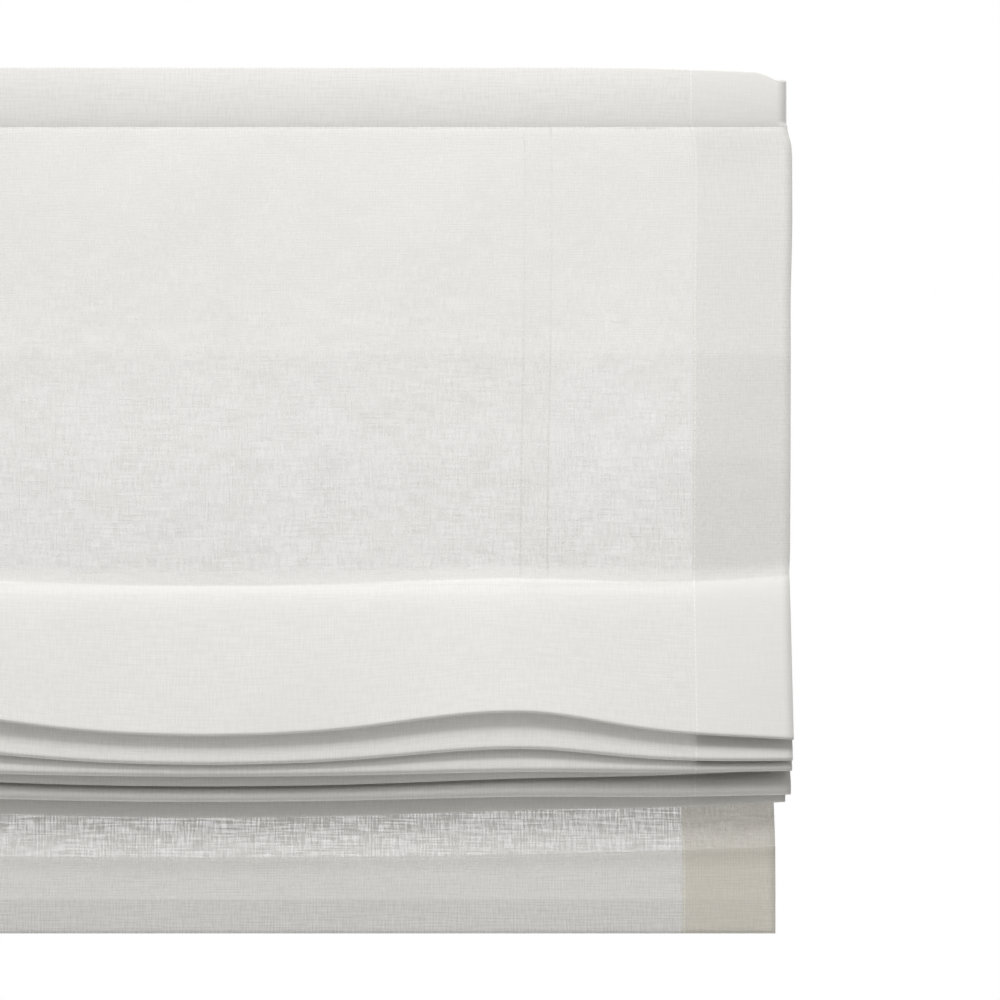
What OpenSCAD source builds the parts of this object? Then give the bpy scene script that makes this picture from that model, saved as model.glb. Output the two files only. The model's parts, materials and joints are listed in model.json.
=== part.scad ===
// Roman blind with a spring-assisted headrail, drawn up to a gathered stack of six pleats.
// Millimetres. X runs to the right, Y into the wall, Z up.
// The origin is the middle of the four wall screws, on the wall's face.

/* [Cloth] */
// Finished width of the cloth
blind_w = 800; // [700:10:1200]
// Height of the turned hem at the top
header_h = 42; // [38:1:60]
// From the cloth's top edge down to the first batten
top_section = 356.7; // [300:0.1:450]
// Flat cloth between two battens
pleat_pitch = 235; // [210:1:240]
// Modelled thickness of the cloth
cloth_t = 0.8; // [0.4:0.1:1]
// Air between the two layers of the header hem
header_air = 0.7; // [0.4:0.1:1.2]
// From the last batten down to the cloth's bottom edge
flap_h = 180.5; // [140:0.1:220]
// Height of the bottom hem
bottom_hem_h = 55; // [40:1:80]
// How much narrower the flap hangs at each side
flap_inset = 10; // [0:1:20]
// How far the flat top section bellies forward above the stack
belly = 6; // [0:0.5:8]

/* [Folds] */
// Spacing of the battens in the gathered stack
stack_pitch = 10.3; // [10:0.1:13]
// Radius of the cloth's turn at a batten
tack_r = 2.5; // [2:0.1:3]
// Drop of the front fold below its batten
front_hang = 100.5; // [90:0.5:110]
// Drop of the folds behind it
fold_hang = 110; // [100:0.5:120]
// Depth of one fold's loop at its lower edge
loop_d = 3.4; // [2.5:0.1:5]
// Air from one loop to the next
loop_air = 2; // [1.2:0.1:3]
// How far the front fold's lower edge rises at a lift tape
arch_rise = 14; // [4:0.5:24]

/* [Headrail] */
// Height of the rail
rail_h = 35; // [35:0.5:45]
// Depth of the rail
rail_d = 28; // [28:0.5:40]
// Wall of the rail
rail_t = 1.2; // [0.8:0.1:1.6]
// Width of the two lips along the open top
rail_lip = 5; // [4:0.1:6]
// How far the rail ends inside the cloth's side edge
rail_inset = 22; // [4:1:26]
// From the rail's top up to the cloth's top edge
cloth_over = 4.5; // [4.2:0.1:8]
// Width of the hook and loop strips
strip_h = 25; // [16:1:30]
// Thickness of each strip
strip_t = 1.2; // [0.8:0.1:1.6]
// Thickness of an end cap's plate
cap_t = 2.5; // [1.5:0.1:4]
// Length of an end cap's sleeve in the rail
cap_plug = 10; // [6:1:16]

/* [Brackets] */
// Distance between the two brackets
bracket_span = 600; // [500:10:640]
// Width of a bracket
bracket_w = 30; // [26:1:40]
// Thickness of a bracket's sheet
bracket_t = 1.6; // [1.2:0.1:2]
// Room behind the rail for the screw heads
screw_room = 3.4; // [3:0.1:6]
// Distance between a bracket's two screw holes
hole_span = 16; // [12:1:20]
// Radius of a screw hole
hole_r = 2.5; // [2:0.1:3]
// Length of a latch's toe from its pivot
toe_len = 7.5; // [7:0.1:8]
// Radius of a latch's pivot
latch_pin_r = 2; // [1.5:0.1:2.5]

/* [Lift] */
// From the middle of the blind to a lift tape
tape_x = 224; // [180:1:240]
// Width of a lift tape
tape_w = 20; // [14:1:24]
// Thickness of a lift tape
tape_t = 0.25; // [0.2:0.01:0.27]
// Radius of a tape spool's core
core_r = 5.5; // [5:0.1:6]
// Radius of the lift shaft
shaft_r = 3; // [2:0.1:3.2]
// Thickness of a spool's flange
flange_t = 1.2; // [0.8:0.1:2]
// Wall of a spool cradle
cradle_t = 2; // [1.5:0.1:3]
// Length of the spring motor
motor_l = 46; // [40:1:80]
// Wall of the spring motor's housing
motor_t = 1.5; // [1.2:0.1:2]
// Thickness of the motor's spring band
band_t = 0.06; // [0.05:0.005:0.07]

/* [Battens] */
// Radius of a batten
batten_r = 2; // [1.5:0.1:2.2]
// Wall of a batten's pocket
pocket_t = 0.6; // [0.4:0.1:0.8]
// How far a batten ends inside the cloth's side edge
batten_inset = 8; // [6:1:20]
// Length of a batten's tip
tip_l = 9; // [6:1:12]
// Width of a tape guide's frame beyond the tape, each side
guide_rim = 3; // [2:0.5:5]
// Height of a tape guide
guide_h = 3; // [2:0.1:4]

/* [Bottom bar] */
// Height of the bottom bar
bar_h = 22; // [14:1:26]
// Thickness of the bottom bar
bar_t = 3.2; // [2.6:0.1:5]
// Wall of the bottom bar
bar_wall = 0.8; // [0.6:0.1:0.9]
// How far the bar ends inside the flap's side edge
bar_inset = 10; // [6:1:20]

/* [Hidden] */
$fn = 48;

// Clearances
seat = 0.3;
run = 0.05;

// Levels and planes of the rail
rail_top = rail_h / 2 + 0.5;
rail_bottom = rail_top - rail_h;
rail_back = -bracket_t - screw_room;
rail_front = rail_back - rail_d;
rail_l = blind_w - 2 * rail_inset;
top_z = rail_top + cloth_over;
strip_z = (rail_top + rail_bottom) / 2;
groove_lip = 1;

// Planes of the cloth: the header's back layer, the front layer and the middle of the turns
hem_back_y = rail_front - 2 * strip_t - 2 * seat - cloth_t / 2;
cloth_y = hem_back_y - cloth_t - header_air;
turn_y = cloth_y - tack_r;

// The folds, from the front one to the last: unevenness, share of the arch, droop at the side edges
fold_uneven = [0, 2, 1.5, -1.5, -1, 0.5];
arch_share = [1, 0.8, 0.15, 0.15, 0.15, 0.15];
side_droop = [5.5, -3, -4, -12, -5, -11];
pleats = len(fold_uneven);
ledge = 0.4;
shoulder = 24;
flap_reach = 0.8;
layer_steps = 5;
arch_in = 105;
arch_out = 80;
half_w = blind_w / 2;
header_inset = 2.5;
last_fold_inset = 4;

// Creases across the top section, as shares of its height and of the belly
crease_up = 0.559;
crease_low = 0.758;
low_belly = 0.77;

// Battens, pockets and tape guides
batten_l = blind_w - 2 * batten_inset;
pocket_in = batten_r + seat;
pocket_out = pocket_in + pocket_t;
neck_l = 1.7;
neck_t = 1.2;
pocket_y = cloth_y + cloth_t / 2 + seat + neck_l + pocket_out;
pocket_l = batten_l - 2 * tip_l + 2;
clip_in = pocket_out + 0.2;
clip_out = clip_in + 0.9;
clip_w = 12;
guide_slot = 1.4;
guide_wall = 1.2;
guide_y = pocket_y + clip_out + guide_slot / 2 + 0.4;
tip_wall = 0.6;

// Lift shaft, spools and the tape wound on them
shaft_y = (rail_front + rail_back) / 2;
wound = pleats * (pleat_pitch - stack_pitch);
pack_r = sqrt(core_r * core_r + wound * tape_t / PI);
flange_r = pack_r + 0.5;
shaft_z = rail_top - rail_t - 2 * seat - flange_r;
journal_r = 4.5;
spool_w = tape_w + 0.6;
cradle_gap = 0.4;
cradle_in = spool_w / 2 + flange_t + cradle_gap;
shaft_l = 2 * (tape_x + cradle_in + cradle_t + 2.5);
cradle_top = shaft_z + 8;
rail_floor = rail_bottom + rail_t;
rail_in_d = rail_d - 2 * rail_t;
slot_d = 4;

// Spring motor, about the middle of the rail
motor_d = rail_in_d - 2 * seat;
motor_bottom = rail_floor;
motor_top = rail_top - rail_t - seat;
power_core = shaft_r + 0.5;
power_pack = power_core + 3 * band_t;
turns = (pack_r - core_r) / tape_t;
band_l = turns * 2 * PI * (power_core + turns * band_t / 2);
power_flange = power_core + (turns + 4) * band_t;
store_pin = 1.4;
store_core = store_pin + 0.6;
store_pack = sqrt(store_core * store_core + band_l * band_t / PI);
store_z = motor_bottom + motor_t + store_pack + 0.2;
motor_air = 6;
drum_w = motor_l - 2 * motor_t - 2 - 2 * motor_air;
band_w = drum_w - 1;
screw_r = 1.1;

// Bottom bar and the hem round it
bottom_z = top_z - top_section - pleats * stack_pitch - flap_h;
hem_turn = bar_t / 2 + seat + cloth_t / 2;
flap_y = turn_y - flap_reach;
bar_y = flap_y + hem_turn;
bar_z = bottom_z + cloth_t / 2 + hem_turn + bar_h / 2;
bar_l = blind_w - 2 * flap_inset - 2 * bar_inset;
bar_cap_l = 3;

// Height of a batten's middle in the stack
function batten_z(i) = top_z - top_section - (i - 1) * stack_pitch;

// Bell over a lift tape, wider towards the middle of the blind
function arch(x) =
    let (d = abs(x) - tape_x + 14, w = d > 0 ? arch_out : arch_in)
    exp(-pow(d / w, 2));

// Height of a fold's lower edge, to the middle of the cloth's turn
function fold_z(i, x) =
    let (hang = i == 1 ? front_hang : fold_hang + fold_uneven[i - 1])
    batten_z(i) - hang + loop_d / 2 + cloth_t / 2
    + arch_rise * arch_share[i - 1] * arch(x)
    - side_droop[i - 1] * pow(abs(x) / half_w, 2);

// How far a fold's front layer stands forward of the turns
function reach(i) = flap_reach + (pleats - i + 1) * (loop_d + loop_air);

// A layer's way out from its batten: a short ledge, then an even lean
function spring_out(u) = ledge * (1 - pow(1 - u, shoulder)) + (1 - ledge) * u;

// One point of a hanging layer: u is 0 at the batten and 1 at the fold's lower edge
function layer_point(z0, z1, out, u, inset) =
    [turn_y - out * spring_out(u), z0 + (z1 - z0) * u, inset];
function step_share(k) = pow(k / layer_steps, 2);

// Points of an arc about [y, z], angles from +Y towards +Z
function arc(y, z, r, a0, a1, steps, inset) =
    [for (k = [0:steps]) let (a = a0 + (a1 - a0) * k / steps) [y + r * cos(a), z + r * sin(a), inset]];

// The header hem and the flat top section, down to the first batten's turn
function header_path() =
    let (r = (hem_back_y - cloth_y) / 2, ty = (hem_back_y + cloth_y) / 2, tz = top_z - cloth_t / 2 - r)
    concat(
        [[hem_back_y, top_z - header_h, header_inset], [hem_back_y, tz - 2, header_inset]],
        arc(ty, tz, r, 0, 180, 3, header_inset),
        [[cloth_y, top_z - header_h, header_inset * 0.6],
         [cloth_y - belly, top_z - crease_up * top_section, 0],
         [cloth_y - low_belly * belly, top_z - crease_low * top_section, 0]],
        arc(turn_y, batten_z(1), tack_r, 0, -90, 2, 0)
    );

// One pleat: down the front, round the lower edge, up the back and round the next batten
function pleat_path(i, x) =
    let (
        zb = fold_z(i, x),
        front = reach(i),
        back = reach(i) - loop_d,
        inset = i == pleats ? last_fold_inset : 0,
        next_inset = i == pleats ? flap_inset * 1.3 : inset
    )
    concat(
        [for (k = [1:layer_steps])
            layer_point(batten_z(i) - tack_r, zb, front, step_share(k), inset)],
        arc(turn_y - front + loop_d / 2, zb, loop_d / 2, 225, 315, 1, inset),
        [for (k = [layer_steps:-1:1])
            layer_point(batten_z(i + 1) + tack_r, zb, back, step_share(k), inset)],
        arc(turn_y, batten_z(i + 1), tack_r, 90, -90, 4, next_inset)
    );

// The flap below the last batten and the hem round the bottom bar
function flap_path() =
    let (
        z0 = batten_z(pleats + 1) - tack_r,
        zt = bottom_z + cloth_t / 2 + hem_turn,
        back = flap_y + 2 * hem_turn,
        hem_top = bottom_z + bottom_hem_h
    )
    concat(
        [layer_point(z0, zt, flap_reach, 0.06, flap_inset * 1.3),
         [flap_y, hem_top, flap_inset], [flap_y, zt + 1, flap_inset]],
        arc(bar_y, zt, hem_turn, 180, 360, 4, flap_inset),
        [[back, bar_z + bar_h / 2 + 1, flap_inset], [flap_y + cloth_t + header_air, hem_top, flap_inset]]
    );

function cloth_path(x) =
    concat(header_path(), [for (i = [1:pleats]) each pleat_path(i, x)], flap_path());

// Unit normal of a path at one of its points
function path_normal(p, j) =
    let (a = p[max(j - 1, 0)], b = p[min(j + 1, len(p) - 1)], d = [b[0] - a[0], b[1] - a[1]])
    [d[1], -d[0]] / norm(d);

// Places across half the width where the cloth's section is set out
half_stations = [0, 0.18, 0.33, 0.44, 0.525, 0.61, 0.71, 0.84, 1];
stations = concat(
    [for (k = [len(half_stations) - 1:-1:1]) -half_stations[k] * half_w],
    [for (s = half_stations) s * half_w]
);

// Runs a 2D outline drawn in Y and Z along X, about the middle at x
module along_x(length, x = 0) {
    translate([x - length / 2, 0, 0])
        rotate([90, 0, 90])
            linear_extrude(height = length)
                children();
}

module box(x0, x1, y0, y1, z0, z1) {
    translate([x0, y0, z0])
        cube([x1 - x0, y1 - y0, z1 - z0]);
}

module rod(r, length, y, z, x = 0) {
    along_x(length, x)
        translate([y, z])
            circle(r = r);
}

module rounded_rect(w, h, r) {
    hull()
        for (sx = [-1, 1], sy = [-1, 1])
            translate([sx * (w / 2 - r), sy * (h / 2 - r)])
                circle(r = r, $fn = 32);
}

module flat_bar(t, h, r) {
    square([t, h - 2 * r], center = true);
    for (s = [-1, 1])
        translate([0, s * (h / 2 - r)])
            circle(r = r);
    square([t - 2 * (r < t / 2 ? r : 0), h], center = true);
}

module fabric_panel() {
    paths = [for (x = stations) cloth_path(x)];
    m = len(paths[0]);
    n = len(stations);
    points = [
        for (s = [0:n - 1])
            for (side = [1, -1])
                for (j = [0:m - 1])
                    let (p = paths[s][j], v = path_normal(paths[s], j) * side * cloth_t / 2)
                    [stations[s] * (1 - p[2] / half_w), p[0] + v[0], p[1] + v[1]]
    ];
    front = [for (s = [0:n - 1]) s * 2 * m];
    skins = [
        for (s = [0:n - 2], j = [0:m - 2])
            let (a = front[s] + j, b = front[s + 1] + j, c = a + m, d = b + m)
            each [[a, b + 1, a + 1], [a, b, b + 1], [c, c + 1, d + 1], [c, d + 1, d]]
    ];
    ends = [
        for (s = [0:n - 2])
            let (a = front[s], b = front[s + 1], e = m - 1)
            each [[a, b + m, b], [a, a + m, b + m],
                  [a + e, b + e, b + e + m], [a + e, b + e + m, a + e + m]]
    ];
    sides = [
        for (j = [0:m - 2])
            let (a = j, b = front[n - 1] + j)
            each [[a, a + 1, a + 1 + m], [a, a + 1 + m, a + m],
                  [b, b + 1 + m, b + 1], [b, b + m, b + 1 + m]]
    ];
    color([0.92, 0.92, 0.9])
        polyhedron(points = points, faces = concat(skins, ends, sides));
}

module loop_strip() {
    y = rail_front - strip_t - seat;
    color([0.95, 0.95, 0.94])
        box(-rail_l / 2, rail_l / 2, y - strip_t, y, strip_z - strip_h / 2, strip_z + strip_h / 2);
}

module hook_strip() {
    color([0.9, 0.9, 0.9])
        box(-rail_l / 2, rail_l / 2, rail_front - strip_t, rail_front,
            strip_z - strip_h / 2, strip_z + strip_h / 2);
}

// Outline of the open-topped rail, with a shallow groove that locates the hook strip
module rail_outline() {
    difference() {
        translate([rail_front, rail_bottom])
            square([rail_d, rail_h]);
        translate([rail_front + rail_t, rail_floor])
            square([rail_in_d, rail_h - 2 * rail_t]);
        translate([rail_front + rail_lip, rail_top - rail_t - 1])
            square([rail_d - 2 * rail_lip, rail_t + 2]);
    }
    for (s = [-1, 1])
        translate([rail_front - strip_t / 2, strip_z + s * (strip_h / 2 + seat + groove_lip / 2)])
            square([strip_t, groove_lip], center = true);
}

module headrail() {
    color([0.9, 0.9, 0.89])
        difference() {
            along_x(rail_l)
                rail_outline();
            for (s = [-1, 1])
                box(s * tape_x - tape_w / 2 - 2, s * tape_x + tape_w / 2 + 2,
                    guide_y - slot_d / 2 - 0.5, guide_y + slot_d / 2 + 0.5,
                    rail_bottom - 1, rail_floor + 1);
        }
}

// A cap closes one end of the rail: a plate and a sleeve open at the top
module end_cap(side) {
    color([0.93, 0.93, 0.92]) {
        along_x(cap_t, side * (rail_l + cap_t) / 2)
            translate([(rail_front + rail_back) / 2, (rail_top + rail_bottom) / 2])
                square([rail_d, rail_h], center = true);
        along_x(cap_plug, side * (rail_l - cap_plug) / 2)
            difference() {
                translate([rail_front + rail_t + 0.1, rail_floor + 0.1])
                    square([rail_in_d - 0.2, rail_h - 2 * rail_t - 0.2]);
                translate([rail_front + rail_t + 1.6, rail_floor + 1.6])
                    square([rail_in_d - 3.2, rail_h]);
            }
    }
}

// Bent strip: a back plate on the wall, an arm over the rail and a hook under the rail's front lip
module bracket(side) {
    x = side * bracket_span / 2;
    arm_z = rail_top + seat;
    foot_z = rail_top - rail_t - seat;
    hook_y = rail_front + rail_lip + 0.4;
    color([0.75, 0.76, 0.77])
        difference() {
            along_x(bracket_w, x) {
                translate([-bracket_t, rail_bottom])
                    square([bracket_t, arm_z + bracket_t - rail_bottom]);
                translate([hook_y, arm_z])
                    square([-hook_y, bracket_t]);
                translate([hook_y, foot_z - bracket_t])
                    square([bracket_t, arm_z + bracket_t - foot_z + bracket_t]);
                translate([rail_front + rail_t + seat, foot_z - bracket_t])
                    square([hook_y + bracket_t - rail_front - rail_t - seat, bracket_t]);
            }
            for (s = [-1, 1])
                translate([x, 1, s * hole_span / 2])
                    rotate([90, 0, 0])
                        cylinder(r = hole_r, h = bracket_t + 2);
            translate([x, latch_y(), arm_z - 1])
                cylinder(r = latch_pin_r + run, h = bracket_t + 2);
        }
}

// Pivot of a latch, so that its toe clears the rear lip when it is turned aside
function latch_y() = rail_back - rail_lip - 4.1;

// Latch: a thumb lever above the arm, a pivot through it, and a toe under the rail's rear lip
module bracket_latch(side) {
    x = side * bracket_span / 2;
    arm_z = rail_top + seat;
    toe_top = rail_top - rail_t - seat;
    lever_z = arm_z + bracket_t + 0.2;
    color([0.86, 0.86, 0.85])
        translate([x, latch_y(), 0]) {
            translate([0, 0, toe_top - bracket_t])
                cylinder(r = 4, h = arm_z - 0.2 - toe_top + bracket_t);
            intersection() {
                translate([-3, 0, toe_top - bracket_t])
                    cube([6, toe_len, bracket_t]);
                cylinder_between(toe_len, toe_top - bracket_t, toe_top);
            }
            cylinder_between(latch_pin_r, toe_top, lever_z + 1);
            translate([0, 0, lever_z])
                cylinder(r = 4, h = 1.4);
            translate([-3, -11, lever_z])
                cube([6, 11, 1.4]);
        }
}

module cylinder_between(r, z0, z1) {
    translate([0, 0, z0])
        cylinder(r = r, h = z1 - z0);
}

module lift_shaft() {
    color([0.7, 0.71, 0.72])
        rod(shaft_r, shaft_l, shaft_y, shaft_z);
}

// Spool: a core, two flanges, and a journal at each end that turns in the cradle
module tape_spool(side) {
    x = side * tape_x;
    color([0.9, 0.9, 0.88])
        difference() {
            union() {
                rod(core_r, spool_w, shaft_y, shaft_z, x);
                for (s = [-1, 1])
                    rod(flange_r, flange_t, shaft_y, shaft_z, x + s * (spool_w + flange_t) / 2);
                rod(journal_r, 2 * (cradle_in + cradle_t + 1), shaft_y, shaft_z, x);
            }
            rod(shaft_r + 0.02, shaft_l, shaft_y, shaft_z, x);
        }
}

// Cradle: a floor with a slot for the tape and two cheeks with open-topped bearings
module spool_cradle(side) {
    x = side * tape_x;
    d = rail_in_d - 2 * seat;
    color([0.8, 0.81, 0.82])
        difference() {
            union() {
                box(x - cradle_in - cradle_t, x + cradle_in + cradle_t,
                    shaft_y - d / 2, shaft_y + d / 2, rail_floor, rail_floor + 1.5);
                for (s = [-1, 1])
                    along_x(cradle_t, x + s * (cradle_in + cradle_t / 2))
                        polygon([
                            [shaft_y - d / 2, rail_floor], [shaft_y + d / 2, rail_floor],
                            [shaft_y + 9, shaft_z], [shaft_y + 7, cradle_top],
                            [shaft_y - 7, cradle_top], [shaft_y - 9, shaft_z]
                        ]);
            }
            rod(journal_r + run, 2 * (cradle_in + cradle_t) + 2, shaft_y, shaft_z, x);
            box(x - cradle_in - cradle_t - 1, x + cradle_in + cradle_t + 1,
                shaft_y - 3.8, shaft_y + 3.8, shaft_z, cradle_top + 1);
            box(x - tape_w / 2 - 1, x + tape_w / 2 + 1,
                guide_y - slot_d / 2, guide_y + slot_d / 2, rail_floor - 1, rail_floor + 3);
        }
}

// The housing is a tray closed by the cover at its right end, with a pin for the storage spool
module motor_housing() {
    color([0.25, 0.26, 0.28])
        difference() {
            union() {
                motor_shell(motor_l, 0, motor_t);
                rod(store_pin, motor_l - motor_t - 1, shaft_y, store_z, -0.5 + motor_t / 2 - 1);
                for (s = [-1, 1], z = [motor_bottom + 3, motor_top - 3])
                    rod(2.4, motor_l - 2, shaft_y + s * (motor_d / 2 - 2.6), z, -1);
            }
            rod(shaft_r + 0.4, motor_l + 2, shaft_y, shaft_z);
            for (s = [-1, 1], z = [motor_bottom + 3, motor_top - 3])
                rod(screw_r, 14, shaft_y + s * (motor_d / 2 - 2.6), z, motor_l / 2 - 6);
        }
}

// Box of the given length about x, open at its right end, with a floor at its left end
module motor_shell(length, x, wall) {
    difference() {
        along_x(length, x)
            translate([shaft_y - motor_d / 2, motor_bottom])
                square([motor_d, motor_top - motor_bottom]);
        along_x(length, x + wall)
            translate([shaft_y - motor_d / 2 + wall, motor_bottom + wall])
                square([motor_d - 2 * wall, motor_top - motor_bottom - 2 * wall]);
    }
}

module motor_cover() {
    x = motor_l / 2 + motor_t / 2;
    color([0.3, 0.31, 0.33])
        difference() {
            along_x(motor_t, x)
                translate([shaft_y - motor_d / 2, motor_bottom])
                    square([motor_d, motor_top - motor_bottom]);
            rod(shaft_r + 0.4, motor_t + 2, shaft_y, shaft_z, x);
            for (s = [-1, 1], z = [motor_bottom + 3, motor_top - 3])
                rod(screw_r + 0.2, motor_t + 2, shaft_y + s * (motor_d / 2 - 2.6), z, x);
        }
}

module motor_screws() {
    color([0.6, 0.6, 0.6])
        for (s = [-1, 1], z = [motor_bottom + 3, motor_top - 3]) {
            y = shaft_y + s * (motor_d / 2 - 2.6);
            rod(screw_r - 0.02, 12, y, z, motor_l / 2 + motor_t - 6);
            rod(2.2, 1, y, z, motor_l / 2 + motor_t + 0.5);
        }
}

// Spool that drives the shaft: two thin flanges on a round core
module power_spool() {
    color([0.85, 0.85, 0.83])
        difference() {
            union() {
                rod(power_core, drum_w + 2, shaft_y, shaft_z);
                for (s = [-1, 1])
                    rod(power_flange, 1, shaft_y, shaft_z, s * (drum_w / 2 + 0.5));
            }
            rod(shaft_r + 0.02, drum_w + 4, shaft_y, shaft_z);
        }
}

// Plain bobbin that turns on the housing's pin between the other spool's flanges
module storage_spool() {
    color([0.85, 0.85, 0.83])
        difference() {
            rod(store_core, drum_w, shaft_y, store_z);
            rod(store_pin + run, drum_w + 2, shaft_y, store_z);
        }
}

// Steel band: wound on the storage spool, reversed onto the power spool
module spring_band() {
    d = shaft_z - store_z;
    a = asin((store_pack + power_pack - 2 * band_t) / d);
    length = d * cos(a);
    color([0.55, 0.57, 0.6])
        along_x(band_w) {
            difference() {
                translate([shaft_y, store_z])
                    circle(r = store_pack);
                translate([shaft_y, store_z])
                    circle(r = store_core + 0.05);
            }
            difference() {
                translate([shaft_y, shaft_z])
                    circle(r = power_pack);
                translate([shaft_y, shaft_z])
                    circle(r = power_core + 0.05);
            }
            translate([shaft_y, store_z])
                rotate(a)
                    translate([store_pack - 1.5 * band_t, 0])
                        square([band_t, length]);
        }
}

// Lift tape: wound on its spool, out through the rail's floor and down to the last batten
module lift_tape(side) {
    x = side * tape_x;
    exit_z = rail_floor + 1.5;
    dy = guide_y - shaft_y;
    dz = exit_z - shaft_z;
    far = sqrt(dy * dy + dz * dz);
    a = atan2(dz, dy) + 360 - acos(pack_r / far);
    touch = [shaft_y + pack_r * cos(a), shaft_z + pack_r * sin(a)];
    inner = [shaft_y + (pack_r - tape_t) * cos(a), shaft_z + (pack_r - tape_t) * sin(a)];
    end_z = batten_z(pleats + 1) - guide_h / 2 - 1;
    color([0.94, 0.94, 0.93])
        along_x(tape_w, x) {
            difference() {
                translate([shaft_y, shaft_z])
                    circle(r = pack_r);
                translate([shaft_y, shaft_z])
                    circle(r = core_r + 0.05);
            }
            polygon([
                touch, [guide_y, exit_z], [guide_y, end_z],
                [guide_y + tape_t, end_z], [guide_y + tape_t, exit_z + 0.1], inner
            ]);
        }
}

module batten(i) {
    color([0.93, 0.93, 0.91])
        rod(batten_r, batten_l, pocket_y, batten_z(i));
}

// Pocket: a narrow tube of cloth with the sewn neck that joins it to the panel
module batten_pocket(i) {
    color([0.9, 0.9, 0.88])
        along_x(pocket_l - 2)
            translate([pocket_y, batten_z(i)])
                difference() {
                    union() {
                        circle(r = pocket_out);
                        translate([-pocket_out - neck_l, -neck_t / 2])
                            square([neck_l + 1, neck_t]);
                    }
                    circle(r = pocket_in);
                }
}

module batten_tips(i) {
    outer = batten_r + 0.05 + tip_wall;
    color([0.96, 0.96, 0.95])
        for (s = [-1, 1])
            difference() {
                rod(outer, tip_l, pocket_y, batten_z(i), s * (batten_l / 2 + 1 - tip_l / 2));
                rod(batten_r + 0.05, batten_l + 0.1, pocket_y, batten_z(i));
            }
}

// Guide: a spring clip round the pocket that carries a frame for the tape to run through
module guide_pair(i) {
    w = tape_w + 2 * guide_rim;
    d = guide_slot + 2 * guide_wall;
    z = batten_z(i);
    for (s = [-1, 1]) {
        x = s * tape_x;
        along_x(clip_w, x)
            translate([pocket_y, z])
                difference() {
                    circle(r = clip_out);
                    circle(r = clip_in);
                    translate([-2 * clip_out + 0.8, -clip_out])
                        square([2 * clip_out - 2, 2 * clip_out]);
                }
        difference() {
            union() {
                box(x - w / 2, x + w / 2, guide_y - d / 2, guide_y + d / 2,
                    z - guide_h / 2, z + guide_h / 2);
                box(x - clip_w / 2, x + clip_w / 2, pocket_y + clip_in + 0.3, guide_y - guide_slot / 2,
                    z - guide_h / 2, z + guide_h / 2);
            }
            box(x - tape_w / 2 - 0.6, x + tape_w / 2 + 0.6,
                guide_y - guide_slot / 2, guide_y + guide_slot / 2, z - guide_h, z + guide_h);
            rod(clip_in, w + 2, pocket_y, z, x);
        }
    }
}

module tape_guides(i) {
    color([0.95, 0.95, 0.94])
        guide_pair(i);
}

// Anchor: a guide with a bar below it that the tape's end is tied to
module tape_anchors() {
    z = batten_z(pleats + 1);
    color([0.95, 0.95, 0.94]) {
        guide_pair(pleats + 1);
        for (s = [-1, 1])
            box(s * tape_x - tape_w / 2, s * tape_x + tape_w / 2,
                guide_y + tape_t + 0.05, guide_y + guide_slot / 2 + guide_wall,
                z - guide_h / 2 - 4, z - guide_h / 2);
    }
}

module bottom_bar() {
    color([0.85, 0.85, 0.84])
        along_x(bar_l)
            translate([bar_y, bar_z])
                difference() {
                    flat_bar(bar_t, bar_h, bar_t / 2);
                    flat_bar(bar_t - 2 * bar_wall, bar_h - 2 * bar_wall, bar_t / 2 - bar_wall);
                }
}

module bar_caps() {
    inner = bar_t - 2 * bar_wall - 0.2;
    color([0.96, 0.96, 0.95])
        for (s = [-1, 1]) {
            along_x(bar_cap_l, s * (bar_l + bar_cap_l) / 2)
                translate([bar_y, bar_z])
                    flat_bar(bar_t, bar_h, bar_t / 2);
            along_x(8, s * (bar_l - 8) / 2)
                translate([bar_y, bar_z])
                    square([inner, bar_h - 2 * bar_t], center = true);
        }
}

fabric_panel();
loop_strip();
hook_strip();
headrail();
end_cap(-1);  // end_cap_left
end_cap(1);  // end_cap_right
bracket(-1);  // bracket_left
bracket(1);  // bracket_right
bracket_latch(-1);  // bracket_latch_left
bracket_latch(1);  // bracket_latch_right
lift_shaft();
tape_spool(-1);  // tape_spool_left
tape_spool(1);  // tape_spool_right
spool_cradle(-1);  // spool_cradle_left
spool_cradle(1);  // spool_cradle_right
motor_housing();
motor_cover();
motor_screws();
power_spool();
storage_spool();
spring_band();
lift_tape(-1);  // lift_tape_left
lift_tape(1);  // lift_tape_right
batten(1);  // batten_1
batten(2);  // batten_2
batten(3);  // batten_3
batten(4);  // batten_4
batten(5);  // batten_5
batten(6);  // batten_6
batten(7);  // batten_7
batten_pocket(1);  // batten_pocket_1
batten_pocket(2);  // batten_pocket_2
batten_pocket(3);  // batten_pocket_3
batten_pocket(4);  // batten_pocket_4
batten_pocket(5);  // batten_pocket_5
batten_pocket(6);  // batten_pocket_6
batten_pocket(7);  // batten_pocket_7
batten_tips(1);  // batten_tips_1
batten_tips(2);  // batten_tips_2
batten_tips(3);  // batten_tips_3
batten_tips(4);  // batten_tips_4
batten_tips(5);  // batten_tips_5
batten_tips(6);  // batten_tips_6
batten_tips(7);  // batten_tips_7
tape_guides(1);  // tape_guides_1
tape_guides(2);  // tape_guides_2
tape_guides(3);  // tape_guides_3
tape_guides(4);  // tape_guides_4
tape_guides(5);  // tape_guides_5
tape_guides(6);  // tape_guides_6
tape_anchors();
bottom_bar();
bar_caps();
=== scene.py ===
"""Looks of the roman blind: gathered linen cloth, woven lift tapes and the finishes of its hardware."""

import json
import math

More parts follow.
